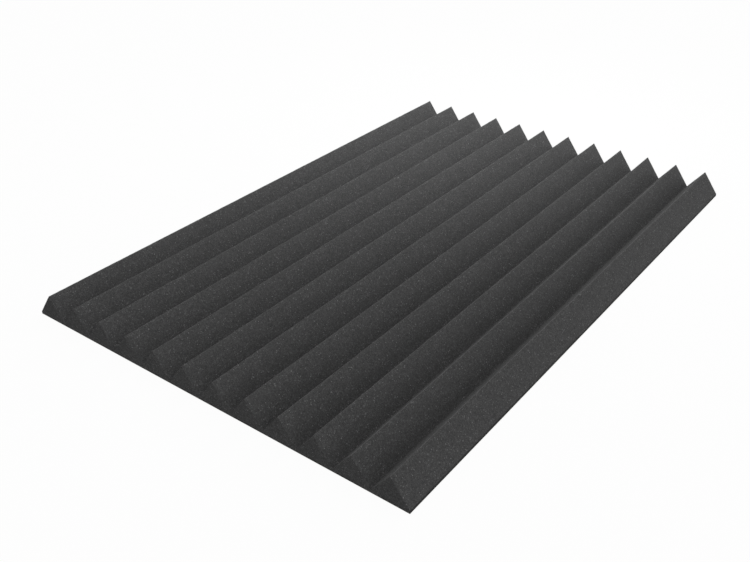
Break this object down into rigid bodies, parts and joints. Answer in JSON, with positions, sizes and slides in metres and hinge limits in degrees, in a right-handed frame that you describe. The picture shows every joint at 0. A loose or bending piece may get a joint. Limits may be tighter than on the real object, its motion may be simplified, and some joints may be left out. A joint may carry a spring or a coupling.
{
  "type": "acoustic foam panel",
  "caption": "Wall or ceiling sound absorber: a foam sheet with parallel V wedges on its face and a self-adhesive flat back under a peel-off liner.",
  "frame": {"origin": "centre of the flat back, on the outer face of the release liner, which the panel lies on", "axes": "+Z out of the face, towards the wedge crests; +Y along the wedges; +X across them"},
  "size_m": [0.81, 1.2, 0.0494],
  "materials": {
    "foam": "matte",
    "adhesive": "gloss",
    "liner": "satin"
  },
  "bodies": {
    "root": {"foam_panel": "foam", "adhesive_film": "adhesive", "release_liner": "liner"}
  },
  "joints": []
}
